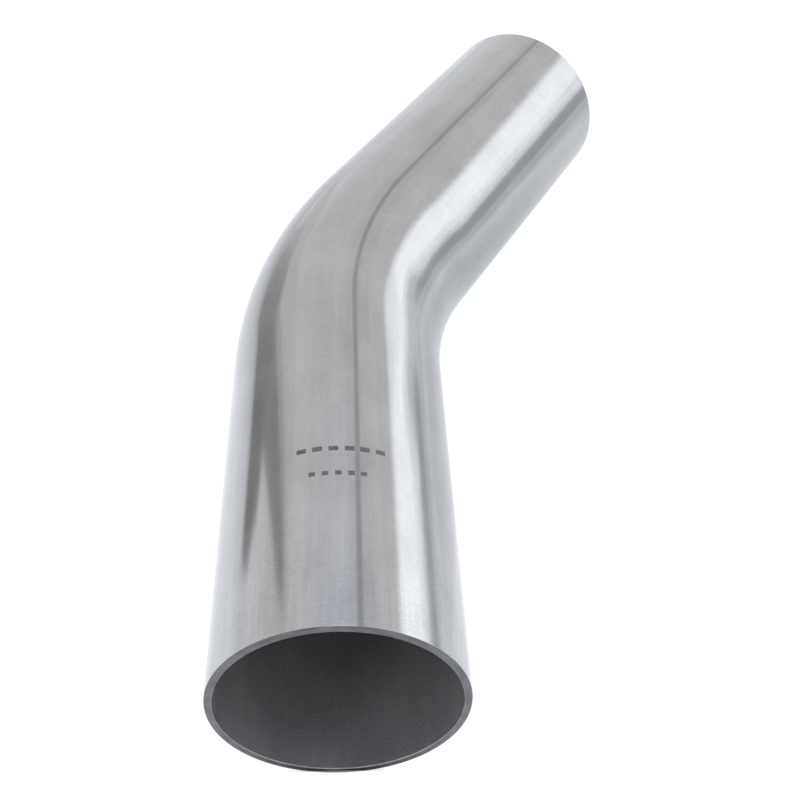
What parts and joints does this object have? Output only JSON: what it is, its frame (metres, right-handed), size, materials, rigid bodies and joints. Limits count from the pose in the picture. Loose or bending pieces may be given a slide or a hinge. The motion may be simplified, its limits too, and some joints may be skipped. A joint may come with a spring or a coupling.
{
  "type": "tube elbow",
  "caption": "Plain-ended stainless flue or exhaust tube, rolled and seam-welded, with one smooth shallow bend between two straight legs.",
  "frame": {"origin": "centre of the inlet end's cut face", "axes": "inlet leg along +Y; the bend turns towards +X in the XY plane; +Z is that plane's normal, up when the elbow lies on its side"},
  "size_m": [0.1352, 0.3001, 0.0634],
  "materials": {
    "stainless_tube": "bright polished stainless with fine lengthwise polishing lines; duller as-rolled skin in the bore",
    "dressed_weld": "weld metal ground flush and polished outside, slightly darker than the tube; as-welded in the bore"
  },
  "bodies": {
    "root": {"tube_wall": "stainless_tube", "seam_weld": "dressed_weld"}
  },
  "joints": []
}
